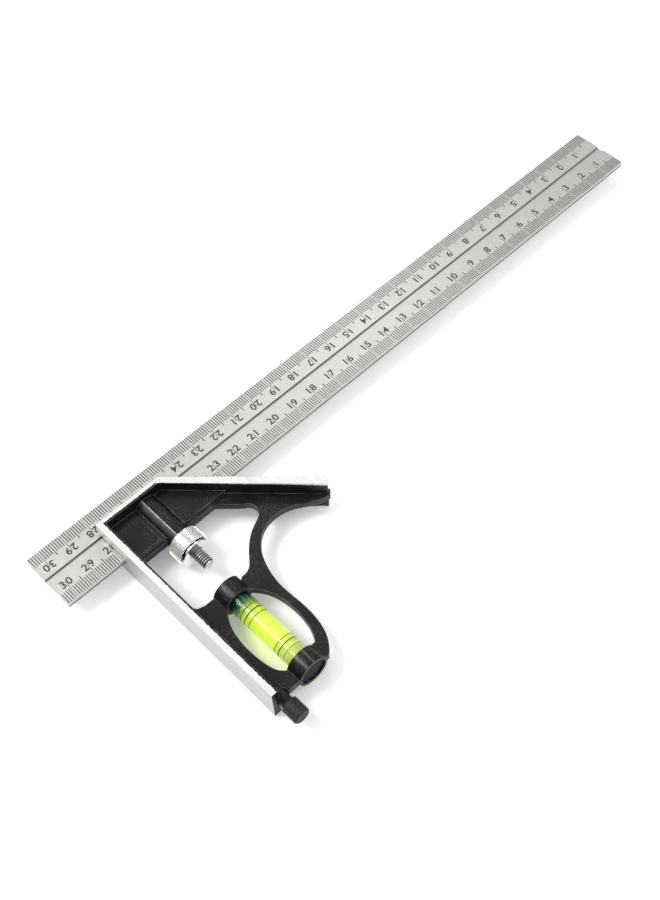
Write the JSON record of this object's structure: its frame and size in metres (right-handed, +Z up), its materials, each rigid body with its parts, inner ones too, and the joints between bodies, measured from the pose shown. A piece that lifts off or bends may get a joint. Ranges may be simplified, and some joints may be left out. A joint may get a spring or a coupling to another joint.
{
  "type": "combination square",
  "caption": "Combination square: grooved steel rule sliding in a cast head with 90 and 45 degree faces, knurled clamp nut, spirit vial and scriber.",
  "frame": {"origin": "datum corner: where the 90 degree face meets the blade's lower edge, on the blade's mid plane", "axes": "+X along the blade away from the 90 degree face, +Y across the blade away from the leg, +Z up out of the upper side"},
  "size_m": [0.3048, 0.1137, 0.0162],
  "materials": {
    "head_casting": "satin black textured paint on a zinc casting, ground bare on the working faces and flange edges",
    "blade": "satin stainless steel with black filled graduations",
    "clamp_bolt": "zinc plated steel, dull grey",
    "clamp_spring": "spring wire",
    "clamp_nut": "bright nickel plate, straight knurl",
    "vial_tube": "clear acrylic with black ring lines",
    "vial_liquid": "fluorescent yellow-green spirit",
    "vial_plug": "clear plastic stopper",
    "vial_retainer": "black plastic cap",
    "scriber_pin": "hardened steel",
    "scriber_knob": "matte black"
  },
  "bodies": {
    "head": {"head_casting": "head_casting", "vial_tube": "vial_tube", "vial_liquid": "vial_liquid", "vial_plug": "vial_plug", "vial_retainer": "vial_retainer"},
    "blade": {"blade": "blade"},
    "clamp_bolt": {"clamp_bolt": "clamp_bolt", "clamp_spring": "clamp_spring"},
    "clamp_nut": {"clamp_nut": "clamp_nut"},
    "scriber": {"scriber_pin": "scriber_pin", "scriber_knob": "scriber_knob"}
  },
  "joints": [
    {"name": "blade_slide", "type": "slide", "parent": "head", "child": "blade", "axis": [1, 0, 0], "range_m": [-0.25, 0.03]},
    {"name": "bolt_lift", "type": "slide", "parent": "head", "child": "clamp_bolt", "axis": [0, 1, 0], "range_m": [0, 0.00025]},
    {"name": "nut_turn", "type": "hinge", "parent": "head", "child": "clamp_nut", "pos_m": [0.0205, -0.011, 0], "axis": [0, -1, 0], "range_deg": [0, 90]},
    {"name": "scriber_slide", "type": "slide", "parent": "head", "child": "scriber", "axis": [0, -1, 0], "range_m": [0, 0.06]}
  ],
  "couplings": [
    {"joint": "nut_turn", "follows": "bolt_lift", "rad_per_m": 6283.2}
  ]
}
